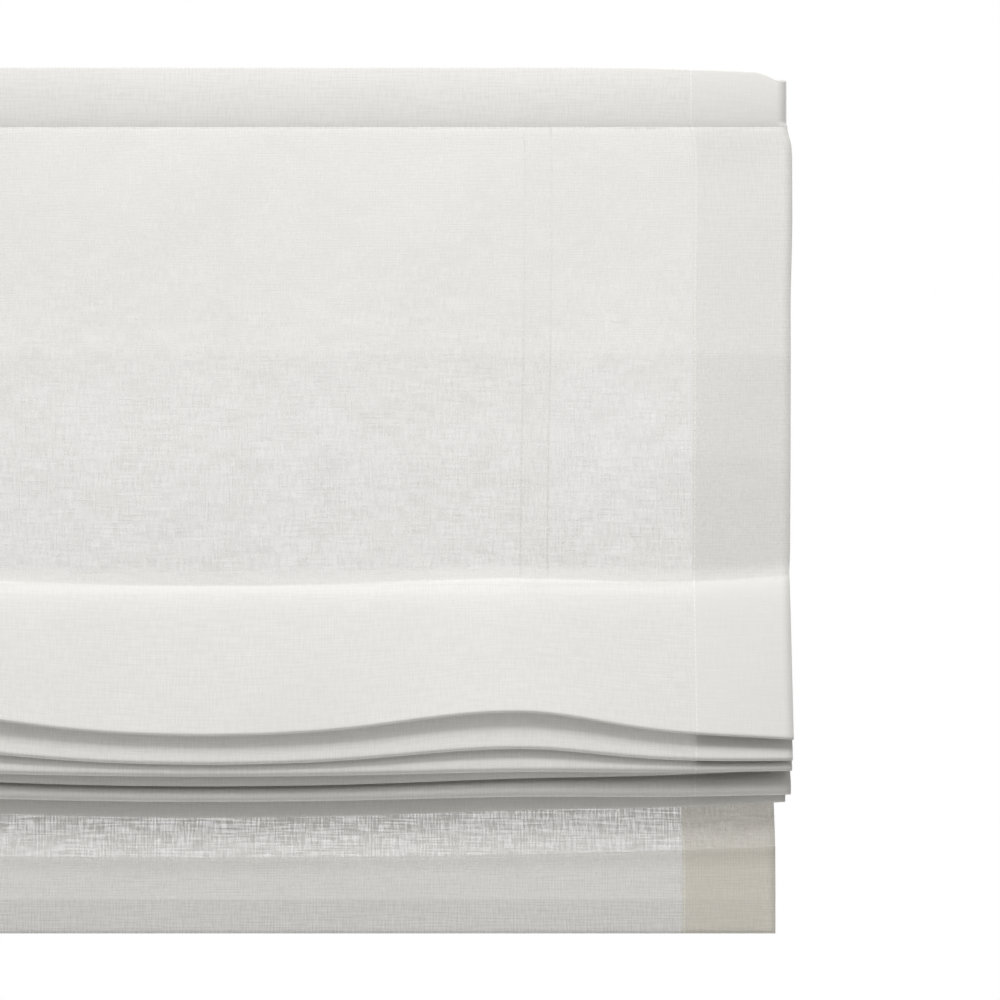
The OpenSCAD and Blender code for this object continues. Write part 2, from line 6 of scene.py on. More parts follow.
import bpy
import numpy as np
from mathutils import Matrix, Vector


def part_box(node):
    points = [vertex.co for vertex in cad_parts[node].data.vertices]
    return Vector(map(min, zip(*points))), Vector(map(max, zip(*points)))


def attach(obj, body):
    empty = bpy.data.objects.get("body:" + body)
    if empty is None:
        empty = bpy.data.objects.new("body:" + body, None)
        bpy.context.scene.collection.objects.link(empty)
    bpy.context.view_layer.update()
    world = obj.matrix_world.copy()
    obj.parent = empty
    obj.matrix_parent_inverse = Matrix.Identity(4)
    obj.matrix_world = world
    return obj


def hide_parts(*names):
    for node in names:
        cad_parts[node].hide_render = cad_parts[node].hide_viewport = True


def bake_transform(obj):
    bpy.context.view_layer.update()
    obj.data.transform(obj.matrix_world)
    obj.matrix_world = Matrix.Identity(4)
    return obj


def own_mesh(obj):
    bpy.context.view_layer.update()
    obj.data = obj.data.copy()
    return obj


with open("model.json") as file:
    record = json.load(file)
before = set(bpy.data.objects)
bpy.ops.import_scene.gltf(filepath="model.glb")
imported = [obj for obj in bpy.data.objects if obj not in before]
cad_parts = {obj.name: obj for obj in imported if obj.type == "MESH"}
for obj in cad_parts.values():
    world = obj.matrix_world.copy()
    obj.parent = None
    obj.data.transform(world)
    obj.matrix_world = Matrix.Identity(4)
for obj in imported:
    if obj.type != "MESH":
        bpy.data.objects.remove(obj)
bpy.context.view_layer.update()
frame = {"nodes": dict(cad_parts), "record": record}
scene = bpy.context.scene
scene.view_settings.view_transform = "Standard"

MM = 0.001

# Camera: straight on, placed so that the blind's right half fills the photo's frame
PHOTO_PX = 1000
PX = 0.69 * MM
EDGE_PX = 790
TOP_PX = 66
CAMERA_AWAY = 2.2
SENSOR_MM = 36

# The cloth as the part has it
PANEL_LO, PANEL_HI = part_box("fabric_panel")
HALF = PANEL_HI.x
TOP = PANEL_HI.z
BOTTOM = PANEL_LO.z
CLOTH_T = 0.8 * MM
HEADER_H = 42 * MM
HEADER_AIR = 0.7 * MM
TACK_R = 2.5 * MM
LOOP_D = 3.4 * MM
LOOP_AIR = 2 * MM
FRONT_HANG = 100.5 * MM
FOLD_HANG = 110 * MM
ARCH_RISE = 14 * MM
ARCH_OUT = 80 * MM
ARCH_IN = 105 * MM
ARCH_SHIFT = 14 * MM
FLAP_REACH = 0.8 * MM
LEDGE = 0.12
SHOULDER = 24
FRONT_LEDGE = 0.06
FRONT_SHOULDER = 12
BELLY = 6 * MM
LOW_BELLY = 0.77

# One value for each fold, from the front one to the rear one; lengths in millimetres
FOLD_UNEVEN = [3.5, 3.5, 1.5, -1.5, -1, 0.5]
SIDE_DROOP = [-1.2, -3, -4, -12, -5, -11]
FOLD_ROLL = [0, 1.5, 3.5, 0, 5.5, 0]
FOLD_INSET = [0.6, 0.9, 1, 1.3, 1.1, 4]
ARCH_SHARE = [1.15, 0.73, 0.15, 0.15, 0.15, 0.15]
TURN_SHARE = [0.35, 0.35, 0.35, 0.9, 0.35, 0.9]
CORNER_DROOP = 3.5 * MM
PLEATS = len(FOLD_UNEVEN)


def centre(node):
    lo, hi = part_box(node)
    return (lo + hi) / 2


TAPE_X = centre("tape_spool_right").x
BATTENS = [centre(f"batten_{i}") for i in range(1, PLEATS + 2)]
BATTEN_Z = [c.z for c in BATTENS]
BAR = centre("bottom_bar")
BAR_LO, BAR_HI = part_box("bottom_bar")


def reach(i):
    """How far fold i's front layer stands forward of the turns."""
    return FLAP_REACH + (PLEATS - i + 1) * (LOOP_D + LOOP_AIR)


TURN_Y = PANEL_LO.y + reach(1) + CLOTH_T / 2
CLOTH_Y = TURN_Y + TACK_R
HEM_BACK_Y = CLOTH_Y + CLOTH_T + HEADER_AIR
SEAM_Z = TOP - HEADER_H
CREASE_UP_Z = TOP - 0.559 * (TOP - BATTEN_Z[0])
CREASE_LOW_Z = TOP - 0.758 * (TOP - BATTEN_Z[0])

# Side hems, turned to the back
HEM_W = 67.5 * MM
HEM_GAP = 0.5 * MM
STITCH_IN = 1.6 * MM
FRONT_COLUMNS = 121
HEM_COLUMNS = 9

# The stack's upper edge, which the first fold carries
CREST_LOW = 2.4 * MM
CREST_ARCH = 5 * MM
CREST_CORNER = 7.5 * MM
ROLL_H = 11 * MM
ROLL_OUT = 1.9 * MM
SPLIT_Z = BATTEN_Z[0] + 22 * MM

# The top edge, level between its sinking ends
SINK, SINK_FROM, SINK_OVER = 3 * MM, 240 * MM, 140 * MM
CORNER_CUT, CUT_FROM, CUT_OVER = 7 * MM, 379 * MM, 17 * MM

# How far the cloth's sides stand in from its full width
HEADER_BACK_INSET = 2.4 * MM
HEADER_TOP_INSET = 3 * MM
HEADER_INSET = 3.6 * MM
SEAM_INSET = 1.8 * MM
BELLY_OUTSET = 1.4 * MM
FLAP_TURN_INSET = 10 * MM
FLAP_TOP_INSET = 14.5 * MM
FLAP_INSET = 10.3 * MM

# The cloth's unevenness: height, size and seed of its waves
HEADER_FULL = 1 * MM
SEAM_PINCH = 0.35 * MM
PUCKER = (0.2 * MM, 5 * MM, 3)
FACE = (0.6 * MM, 60 * MM, 5)
RIPPLE = (0.45 * MM, 70 * MM, 11)
SWAY = (0.5 * MM, 80 * MM, 17)
PUFF = (0.05, 14 * MM, 23)

# How closed the linen is, from 0 for open to 1
CLOSED_HEADER = 0.65
CLOSED_FOLDS = 0.8
CLOSED_FLAP_HEM = 0.35
CLOTH_ALPHA = 0.97
LESS_SHADOW = -0.48

# The flap's hem, whose upper edge rises to the sides
FLAP_HEM_H = 53 * MM
FLAP_HEM_RISE = 4.8 * MM
FLAP_HEM_HALF = 326 * MM
DENT, DENT_BELOW, DENT_H = 0.7 * MM, 9 * MM, 7 * MM


def smooth(t):
    t = np.clip(t, 0, 1)
    return t * t * (3 - 2 * t)


def waves(x, z, height, size, seed):
    """A smooth uneven field of about +-height made of a few fixed waves."""
    rng = np.random.default_rng(seed)
    total = 0
    for k in range(5):
        fx, fz = rng.uniform(0.5, 1.6, 2) * (1 + 0.35 * k) / size
        total = total + np.sin(x * fx * rng.choice([-1, 1]) + z * fz + rng.uniform(0, 6.28)) / (1 + 0.5 * k)
    return height * total / 2.4


def add_camera():
    data = bpy.data.cameras.new("camera")
    data.sensor_width = SENSOR_MM
    data.lens = SENSOR_MM * CAMERA_AWAY / (PHOTO_PX * PX)
    data.clip_end = 50
    camera = bpy.data.objects.new("camera", data)
    scene.collection.objects.link(camera)
    x = HALF - (EDGE_PX - PHOTO_PX / 2) * PX
    z = TOP - (PHOTO_PX / 2 - TOP_PX) * PX
    camera.location = (x, CLOTH_Y - CAMERA_AWAY, z)
    camera.rotation_euler = (math.pi / 2, 0, 0)
    scene.camera = camera


# Shapes of the cloth


def columns():
    """The cloth's columns, from the inner edge of the left hem round to that of the right hem.

    Returns each column's x, its share of the hem's gap behind the face, and its x when laid flat.
    """
    front = np.linspace(-HALF, HALF, FRONT_COLUMNS)
    hem = np.linspace(HALF - HEM_W, HALF - 0.3 * MM, HEM_COLUMNS)
    x = np.concatenate([-hem, [-HALF], front, [HALF], hem[::-1]])
    hem_behind = np.ones(HEM_COLUMNS)
    behind = np.concatenate([hem_behind, [0.5], np.zeros(FRONT_COLUMNS), [0.5], hem_behind])
    flat = np.concatenate([hem - 2 * HALF, [-HALF], front, [HALF], 2 * HALF - hem[::-1]])
    return x, behind, flat


COLUMN_X, COLUMN_BEHIND, COLUMN_FLAT = columns()


def arch(x):
    d = np.abs(x) - TAPE_X + ARCH_SHIFT
    return np.exp(-((d / np.where(d > 0, ARCH_OUT, ARCH_IN)) ** 2))


def fold_z(i, x):
    """Height of fold i's lower edge, to the middle of the cloth's turn."""
    hang = (FRONT_HANG if i == 1 else FOLD_HANG) + FOLD_UNEVEN[i - 1] * MM
    return (
        BATTEN_Z[i - 1] - hang + LOOP_D / 2 + CLOTH_T / 2
        + ARCH_RISE * ARCH_SHARE[i - 1] * arch(x)
        - SIDE_DROOP[i - 1] * MM * (x / HALF) ** 2
        - (CORNER_DROOP * (x / HALF) ** 8 if i == 1 else 0)
    )


def crest(x):
    return -CREST_LOW + CREST_ARCH * arch(x) + CREST_CORNER * (x / HALF) ** 6


def spring_out(u, ledge=LEDGE, shoulder=SHOULDER):
    return ledge * (1 - (1 - u) ** shoulder) + (1 - ledge) * u


def loop(i, x):
    """Fold i's lower edge.

    Returns the edge of the fold in front, the height of the strip that shows below it, how far the
    strip rolls forward, and the loop's half height, depth and middle.
    """
    low = fold_z(i, x) - LOOP_D / 2
    above = fold_z(i - 1, x) - LOOP_D / 2 if i > 1 else low + 30 * MM
    strip = np.maximum(above - low, 5 * MM)
    roll = FOLD_ROLL[i - 1] * MM * smooth(strip / (9 * MM))
    half = np.maximum(TURN_SHARE[i - 1] * strip, LOOP_D / 2)
    if TURN_SHARE[i - 1] < 0.5:
        half = np.minimum(half, (LOOP_D + roll) / 2)
    return above, strip, roll, half, LOOP_D + roll, low + half


def top_z(x):
    """The cloth's top edge, which sinks towards its unsupported corners."""
    sink = SINK * np.clip((np.abs(x) - SINK_FROM) / SINK_OVER, 0, 1) ** 2
    corner = CORNER_CUT * np.clip((np.abs(x) - CUT_FROM) / CUT_OVER, 0, 1) ** 1.4
    return TOP - sink - corner


def row(y, z, x, inset=0.0):
    """One row of the cloth: its y, z and inset at each column."""
    one = np.ones_like(x)
    return np.stack([y * one, z * one, inset * one])


def bend(z, soft=1.5 * MM):
    """How far the top section stands forward, with its two creases eased over a few millimetres."""
    heights = [BATTEN_Z[0], CREASE_LOW_Z, CREASE_UP_Z, SEAM_Z]
    forward = [0, LOW_BELLY * BELLY, BELLY, 0]
    return sum(np.interp(z + shift, heights, forward) for shift in (-soft, 0, soft)) / 3


def panel_y(x, z):
    """The hanging cloth's face: full in the header, pinched at the seam, bellied and uneven below."""
    above = z - SEAM_Z
    full = HEADER_FULL * np.sin(np.pi * np.clip(above / HEADER_H, 0, 1)) ** 0.8
    pinch = SEAM_PINCH * np.exp(-np.abs(above) / (2.5 * MM))
    pucker = waves(x, z * 0.2, *PUCKER) * np.exp(-np.abs(above) / (7 * MM))
    below = smooth(-above / (40 * MM)) * smooth((z - BATTEN_Z[0]) / (50 * MM))
    roll = ROLL_OUT * np.clip((BATTEN_Z[0] + crest(x) + ROLL_H - z) / ROLL_H, 0, 1) ** 2
    return CLOTH_Y - full + pinch + pucker - bend(z) - roll - below * waves(x, z, *FACE)


def header_rows(x):
    """The header, from the seam up its back, over the top and down its face to the seam."""
    r = (HEM_BACK_Y - CLOTH_Y) / 2
    top = top_z(x) - r
    rows = []
    for t in np.linspace(0, 1, 8):
        rows.append(row(HEM_BACK_Y, SEAM_Z + (top - SEAM_Z) * t, x, HEADER_BACK_INSET))
    for a in np.radians([30, 60, 90, 120, 150]):
        y = (HEM_BACK_Y + CLOTH_Y) / 2 + r * np.cos(a)
        rows.append(row(y, top + r * np.sin(a), x, HEADER_TOP_INSET))
    for t in np.linspace(0, 1, 30):
        z = top + (SEAM_Z - top) * t
        inset = HEADER_INSET - (HEADER_INSET - SEAM_INSET) * smooth((t - 0.9) * 10)
        rows.append(row(panel_y(x, z), z, x, inset))
    return np.array(rows)


def top_rows(x):
    """The see-through section, from the seam down to where the stack begins."""
    rows = []
    for t in np.linspace(0, 1, 150):
        z = SEAM_Z + (SPLIT_Z - SEAM_Z) * t
        full = smooth((SEAM_Z - z) / (22 * MM)) * (1 - smooth((SEAM_Z - z - 60 * MM) / (70 * MM)))
        inset = SEAM_INSET * (1 - smooth((SEAM_Z - z) / (14 * MM))) - BELLY_OUTSET * full
        rows.append(row(panel_y(x, z), z, x, inset))
    return np.array(rows)


def turn_rows(i, x, inset):
    """Round the turn at batten i, from its upper side down to its lower side."""
    rows = []
    for a in np.radians(np.linspace(90, -90, 9)):
        rows.append(row(TURN_Y + TACK_R * np.cos(a), BATTEN_Z[i - 1] + TACK_R * np.sin(a), x, inset))
    return rows


def front_rows(i, x):
    """A fold's front layer, down to the lowest point of its edge."""
    out = reach(i)
    above, strip, roll, half, depth, middle = loop(i, x)
    inset = FOLD_INSET[i - 1] * MM
    rows = []
    if i == 1:
        z0 = BATTEN_Z[0] + crest(x)
        start = panel_y(x, z0)
        ledge, shoulder = FRONT_LEDGE, FRONT_SHOULDER
        for t in np.linspace(0, 1, 16):
            z = SPLIT_Z + (z0 - SPLIT_Z) * t
            rows.append(row(panel_y(x, z), z, x, inset * t))
    else:
        z0 = BATTEN_Z[i - 1] - TACK_R
        start = TURN_Y
        ledge, shoulder = LEDGE, SHOULDER
        rows += turn_rows(i, x, inset)
    share = np.arange(1, 25) / 24
    for u in np.concatenate([share**2.4 * 0.7, 0.7 + 0.3 * share]):
        z = z0 + (middle - z0) * u
        y = start + (TURN_Y - out - start) * spring_out(u, ledge, shoulder)
        y = y - roll * smooth((above - z) / (0.55 * strip)) - u * waves(x, z, *RIPPLE)
        rows.append(row(y, z, x, inset))
    ripple = waves(x, middle, *RIPPLE)
    for a in np.radians([192, 204, 216, 228, 240, 250, 260, 270]):
        y = TURN_Y - out - roll + depth / 2 * (1 + np.cos(a)) - ripple
        rows.append(row(y, middle + half * np.sin(a), x, inset))
    return np.array(rows)


def back_rows(i, x):
    """A fold's back layer, from the lowest point of its edge up to the next batten's turn."""
    out = reach(i) - LOOP_D
    half, depth, middle = loop(i, x)[3:]
    inset = FOLD_INSET[i - 1] * MM
    ripple = waves(x, middle, *RIPPLE)
    rows = []
    for a in np.radians([270, 288, 306, 324, 342]):
        y = TURN_Y - out + depth / 2 * (np.cos(a) - 1) - ripple
        rows.append(row(y, middle + half * np.sin(a), x, inset))
    z0 = BATTEN_Z[i] + TACK_R
    for u in (np.arange(20, -1, -1) / 20) ** 1.7:
        z = z0 + (middle - z0) * u
        rows.append(row(TURN_Y - out * spring_out(u) - u * waves(x, z, *RIPPLE), z, x, inset))
    return np.array(rows)


def hem_top_z(x):
    return BOTTOM + FLAP_HEM_H + FLAP_HEM_RISE * (x / FLAP_HEM_HALF) ** 2


def flap_rows(x):
    """The flap below the last batten, round the bottom bar and up the back of its hem."""
    flap_y = TURN_Y - FLAP_REACH
    turn = (BAR_HI.y - BAR_LO.y) / 2 + 0.3 * MM + CLOTH_T / 2
    zt = BAR_LO.z
    hem_top = hem_top_z(x)
    z0 = BATTEN_Z[PLEATS] - TACK_R
    rows = turn_rows(PLEATS + 1, x, FLAP_TURN_INSET)
    for t in np.linspace(0.015, 1, 60):
        z = z0 + (zt - z0) * t
        sway = waves(x, z, *SWAY) * smooth(t * 4) * smooth((1 - t) * 4)
        dent = DENT * np.exp(-(((z - hem_top + DENT_BELOW) / DENT_H) ** 2))
        inset = FLAP_TOP_INSET - (FLAP_TOP_INSET - FLAP_INSET) * smooth(t * 1.3)
        rows.append(row(TURN_Y - FLAP_REACH * smooth(t * 12) - sway + dent, z, x, inset))
    for a in np.radians([205, 230, 255, 280, 305, 330, 355]):
        rows.append(row(BAR.y + turn * np.cos(a), zt + turn * np.sin(a), x, FLAP_INSET))
    back = flap_y + 2 * turn
    z_bar = BAR_HI.z + 1 * MM
    for t in np.linspace(0, 1, 8):
        rows.append(row(back, zt + (z_bar - zt) * t, x, FLAP_INSET))
    for t in np.linspace(0.1, 1, 10):
        y = back + (flap_y + 1.5 * MM - back) * smooth(t * 1.3)
        rows.append(row(y, z_bar + (hem_top - z_bar) * t, x, FLAP_INSET))
    return np.array(rows)


def mesh_object(name, points, uv, material, seams=None):
    """A smooth grid of points (rows, columns, 3) with its flat coordinates in metres as a UV map.

    The second map, seams, has the distances to the cloth's upright and level stitch lines.
    """
    r, c = points.shape[:2]
    a = (np.arange(r - 1)[:, None] * c + np.arange(c - 1)).ravel()
    faces = np.stack([a, a + 1, a + c + 1, a + c], axis=1)
    mesh = bpy.data.meshes.new(name)
    mesh.vertices.add(r * c)
    mesh.vertices.foreach_set("co", points.reshape(-1, 3).astype(np.float32).ravel())
    mesh.loops.add(faces.size)
    mesh.loops.foreach_set("vertex_index", faces.ravel().astype(np.int32))
    mesh.polygons.add(len(faces))
    mesh.polygons.foreach_set("loop_start", np.arange(0, faces.size, 4, dtype=np.int32))
    mesh.update(calc_edges=True)
    mesh.validate()
    mesh.polygons.foreach_set("use_smooth", np.ones(len(faces), dtype=bool))
    for title, values in (("weave", uv), ("seams", np.ones_like(uv) if seams is None else seams)):
        layer = mesh.uv_layers.new(name=title)
        layer.data.foreach_set("uv", values.reshape(-1, 2)[faces.ravel()].astype(np.float32).ravel())
    mesh.materials.append(material)
    obj = bpy.data.objects.new(name, mesh)
    scene.collection.objects.link(obj)
    return obj


class Cloth:
    """Lays the pieces of the one long cloth end to end, so that their weave runs on."""

    def __init__(self, material):
        self.material = material
        self.length = 0.0
        self.starts = {}

    def piece(self, name, rows, held, rests_on, seam_z=None):
        y, z, inset = rows[:, 0], rows[:, 1], rows[:, 2]
        dy, dz = np.gradient(y, axis=0), np.gradient(z, axis=0)
        size = np.hypot(dy, dz)
        behind = COLUMN_BEHIND * HEM_GAP
        x = COLUMN_X * (1 - inset * np.abs(COLUMN_X) / HALF**2)
        points = np.stack([x, y - behind * dz / size, z + behind * dy / size], axis=-1)
        step = np.linalg.norm(np.diff(points, axis=0), axis=-1)
        whole = step.sum(axis=0)
        along = np.concatenate([np.zeros((1, len(COLUMN_X))), np.cumsum(step, axis=0)])
        along = along * whole.mean() / whole + self.length
        self.starts[name] = self.length
        self.length += whole.mean()
        uv = np.stack([np.broadcast_to(COLUMN_FLAT, along.shape), along], axis=-1)
        upright = np.broadcast_to(np.abs(COLUMN_X) - HALF + HEM_W - STITCH_IN, along.shape)
        level = np.ones_like(z) if seam_z is None else z - seam_z
        obj = mesh_object(name, points, uv, self.material, np.stack([upright, level], axis=-1))
        return obj


def follow_stack(piece):
    """Gives a piece its own copy of its mesh."""
    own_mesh(piece)


def add_cloth(material):
    """Lays the cloth; returns the lengths along it at which each piece starts."""
    x = COLUMN_X
    cloth = Cloth(material)
    header = cloth.piece("cloth_header", header_rows(x), "hung", ["loop_strip"], SEAM_Z + STITCH_IN)
    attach(header, "root")
    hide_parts("fabric_panel")
    top = cloth.piece("cloth_top", top_rows(x), "hung", ["cloth_header"], SEAM_Z + STITCH_IN)
    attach(top, "root")
    follow_stack(top)
    for i in range(1, PLEATS + 1):
        name = f"cloth_fold_{i}"
        front = cloth.piece(f"{name}_front", front_rows(i, x), "gathered", [f"batten_pocket_{i}"])
        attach(front, f"stack_{i}")
        back = cloth.piece(f"{name}_back", back_rows(i, x), "gathered", [f"batten_pocket_{i + 1}"])
        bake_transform(back)
    hem_line = hem_top_z(x) - STITCH_IN
    last_pocket = f"batten_pocket_{PLEATS + 1}"
    flap = cloth.piece("cloth_flap", flap_rows(x), "hung", [last_pocket], hem_line)
    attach(flap, f"stack_{PLEATS + 1}")
    cloth.starts["cloth_fold_1_front"] += SPLIT_Z - BATTEN_Z[0]
    return cloth.starts


# Materials


def linear(r, g, b):
    """The shader's colour for a colour as it is seen, 0 to 255."""
    seen = (r / 255, g / 255, b / 255)
    return tuple(c / 12.92 if c <= 0.04045 else ((c + 0.055) / 1.055) ** 2.4 for c in seen)


class Nodes:
    """Short calls for building the node tree of a new material, or of the world given as owner."""

    def __init__(self, name, owner=None):
        self.owner = owner or bpy.data.materials.new(name)
        self.owner.use_nodes = True
        self.tree = self.owner.node_tree
        self.tree.nodes.clear()

    def add(self, kind, inputs=None, **settings):
        node = self.tree.nodes.new(f"ShaderNode{kind}")
        for key, value in settings.items():
            setattr(node, key, value)
        for key, value in (inputs or {}).items():
            self.put(node.inputs[key], value)
        return node

    def put(self, socket, value):
        if isinstance(value, bpy.types.NodeSocket):
            self.tree.links.new(value, socket)
        elif isinstance(value, tuple) and len(value) == 3 and socket.type == "RGBA":
            socket.default_value = (*value, 1)
        else:
            socket.default_value = value

    def math(self, operation, a, b=0.0, c=0.0, clamp=False):
        node = self.add("Math", operation=operation, use_clamp=clamp)
        for socket, value in zip(node.inputs, (a, b, c)):
            self.put(socket, value)
        return node.outputs[0]

    def scaled(self, vector, x, y, z=0.0):
        return self.add("VectorMath", {0: vector, 1: (x, y, z)}, operation="MULTIPLY").outputs[0]

    def noise(self, vector, scale=1.0, detail=2.0, roughness=0.5):
        inputs = {"Vector": vector, "Scale": scale, "Detail": detail, "Roughness": roughness}
        return self.add("TexNoise", inputs).outputs[0]

    def stripes(self, vector, direction, period, distortion, detail_scale):
        inputs = {
            "Vector": vector,
            "Scale": 2 * math.pi / (20 * period),
            "Distortion": distortion,
            "Detail": 2.0,
            "Detail Scale": detail_scale,
        }
        wave = self.add("TexWave", inputs, wave_type="BANDS", bands_direction=direction)
        return wave.outputs["Fac"]

    def spread(self, value, low, high, to_low=0.0, to_high=1.0):
        inputs = {0: value, 1: low, 2: high, 3: to_low, 4: to_high}
        return self.add("MapRange", inputs, interpolation_type="SMOOTHSTEP").outputs[0]

    def mix(self, factor, a, b):
        node = self.add("Mix", data_type="RGBA")
        self.put(node.inputs[0], factor)
        self.put(node.inputs[6], a)
        self.put(node.inputs[7], b)
        return node.outputs[2]

    def bump(self, height, distance, strength=1.0):
        return self.add("Bump", {"Height": height, "Distance": distance, "Strength": strength}).outputs[0]

    def principled(self, colour, roughness, **others):
        """A Principled shader; others are its inputs, with _ for each space in their names."""
        inputs = {"Base Color": colour, "Roughness": roughness}
        inputs.update({name.replace("_", " "): value for name, value in others.items()})
        return self.add("BsdfPrincipled", inputs).outputs[0]

    def background_rays(self):
        """1 for the rays that see the plain white background, on their own or in metal or glass."""
        rays = self.add("LightPath").outputs
        seen = self.math("MAXIMUM", rays["Is Camera Ray"], rays["Is Glossy Ray"])
        return self.math("MAXIMUM", seen, rays["Is Transmission Ray"])

    def finish(self, shader, output="OutputMaterial"):
        self.tree.links.new(shader, self.add(output).inputs["Surface"])
        return self.owner


def flat_mm(n):
    """The cloth's own flat coordinates, in millimetres."""
    return n.scaled(n.add("UVMap", uv_map="weave").outputs[0], 1000, 1000)


def object_mm(n):
    return n.scaled(n.add("TexCoord").outputs["Object"], 1000, 1000, 1000)


def stitches(n, flat):
    """Where the cloth's sewing thread shows: dashes along the upright and level stitch lines."""
    seams = n.scaled(n.add("UVMap", uv_map="seams").outputs[0], 1000, 1000)
    place = n.add("SeparateXYZ", {0: flat})
    away = n.add("SeparateXYZ", {0: seams})
    upright = (away.outputs[0], place.outputs[1], 0.8)
    level = (away.outputs[1], place.outputs[0], 0.4)
    shown = []
    for distance, along, pull in (upright, level):
        near = n.spread(n.math("ABSOLUTE", distance), 0.25, 0.6, 1.0, 0.0)
        dash = n.spread(n.math("PINGPONG", along, 1.7), 0.25, 0.6)
        shown.append(n.math("MULTIPLY", n.math("MULTIPLY", near, dash), pull))
    return n.math("MAXIMUM", *shown)


def linen():
    """Sheer slubbed linen, open to the light behind; closed where the folds lie on one another."""
    n = Nodes("linen")
    flat = flat_mm(n)
    place = n.add("SeparateXYZ", {0: flat}).outputs[1]
    seams = n.add("SeparateXYZ", {0: n.add("UVMap", uv_map="seams").outputs[0]}).outputs

    # Where on the cloth
    top = n.add("Value")
    stack = n.add("Value")
    flap = n.add("Value")
    fallen = n.math("GREATER_THAN", place, flap.outputs[0])
    below_top = n.math("SUBTRACT", place, top.outputs[0])
    down_flap = n.math("SUBTRACT", place, flap.outputs[0])
    past_split = n.spread(n.math("SUBTRACT", place, stack.outputs[0]), -9, 0)
    folded = n.math("MULTIPLY", past_split, n.spread(down_flap, -2, 0, 1.0, 0.0))
    header = n.spread(below_top, -1, 1, 1.0, 0.0)
    hem = n.math("MULTIPLY", fallen, n.math("LESS_THAN", seams[1], STITCH_IN))
    side = n.math("GREATER_THAN", seams[0], -STITCH_IN)
    single = n.math("MULTIPLY_ADD", side, -0.6, 1.0)

    # Threads, slubs and clouds
    warp = n.spread(n.noise(n.scaled(flat, 0.78, 0.09), 1.0, 1.0, 0.6), 0.34, 0.66)
    weft = n.spread(n.noise(n.scaled(flat, 0.045, 0.82), 1.0, 1.0, 0.6), 0.34, 0.66)
    thread = n.math("SUBTRACT", n.math("ADD", warp, weft), 1.0)
    thread = n.math("MULTIPLY_ADD", thread, single, 1.0)
    patch = n.spread(n.noise(n.scaled(flat, 0.03, 0.045), 1.0, 2.0, 0.5), 0.42, 0.62, 0.1, 1.0)
    evened = n.math("MULTIPLY", fallen, 0.6)
    patch = n.math("MULTIPLY_ADD", n.math("SUBTRACT", 0.55, patch), evened, patch)
    grid = n.math(
        "MULTIPLY",
        n.stripes(flat, "X", 2.1, 0.6, 0.05),
        n.stripes(flat, "Y", 1.9, 0.8, 0.05),
    )
    dots = n.math("MULTIPLY", n.math("MULTIPLY", grid, patch), single)
    slub = n.spread(n.noise(n.scaled(flat, 0.03, 0.95), 1.0, 1.0, 0.5), 0.66, 0.74)
    cloud = n.noise(n.scaled(flat, 0.009, 0.012), 1.0, 2.0, 0.5)
    sewn = stitches(n, flat)

    # How much of the light the single cloth stops
    drawn = n.spread(down_flap, 125, 140, -0.1, -0.16)
    drawn = n.math("MULTIPLY", fallen, n.math("MULTIPLY_ADD", side, -0.07, drawn))
    weave = n.math("ADD", drawn, n.spread(below_top, 40, 230, 0.7, 0.5))
    weave = n.math("MULTIPLY_ADD", thread, n.math("MULTIPLY_ADD", fallen, 0.12, 0.18), weave)
    weave = n.math("MULTIPLY_ADD", dots, n.math("MULTIPLY_ADD", fallen, 0.3, 0.2), weave)
    weave = n.math("MULTIPLY_ADD", n.math("MULTIPLY", slub, patch), 0.26, weave)

    # And where it is closed, or lies double
    shut = n.math(
        "MAXIMUM",
        n.math("MULTIPLY", folded, CLOSED_FOLDS),
        n.math("MULTIPLY", header, CLOSED_HEADER),
    )
    shut = n.math("MAXIMUM", shut, n.math("MULTIPLY", hem, CLOSED_FLAP_HEM))
    alpha = n.math("MULTIPLY_ADD", n.math("SUBTRACT", CLOTH_ALPHA, weave), shut, weave)
    alpha = n.math("MAXIMUM", n.math("MINIMUM", alpha, CLOTH_ALPHA), sewn)
    to_lamp = n.add("LightPath").outputs["Is Shadow Ray"]
    alpha = n.math("MULTIPLY", alpha, n.math("MULTIPLY_ADD", to_lamp, LESS_SHADOW, 1.0))

    # Colour; a darker, warmer painted shade lies on the flap's side hems, and the pockets lie beyond HEM_W
    # on the seams' map
    colour = n.mix(n.math("MULTIPLY", thread, 0.5), linear(229, 229, 226), linear(233, 233, 232))
    colour = n.mix(n.spread(cloud, 0.35, 0.65, 0.0, 0.5), colour, linear(229, 228, 225))
    on_panel = n.math("LESS_THAN", seams[0], HEM_W)
    # painted warm shade on the flap's side hems
    side_hem_shade = n.math("MULTIPLY", n.math("MULTIPLY", fallen, side), on_panel)
    colour = n.mix(n.math("MULTIPLY", side_hem_shade, 0.6), colour, linear(223, 219, 206))
    colour = n.mix(sewn, colour, linear(246, 246, 242))
    height = n.math("MULTIPLY_ADD", slub, 0.3, n.math("MULTIPLY", thread, 0.25))
    height = n.math("MULTIPLY_ADD", sewn, 0.8, height)
    shader = n.principled(
        colour, 0.92, Alpha=alpha, Sheen_Weight=0.1, Sheen_Roughness=0.5,
        Specular_IOR_Level=0.2, Normal=n.bump(height, 0.1 * MM, 0.3),
    )
    return n.finish(shader), {"cloth_top": top, "cloth_fold_1_front": stack, "cloth_flap": flap}


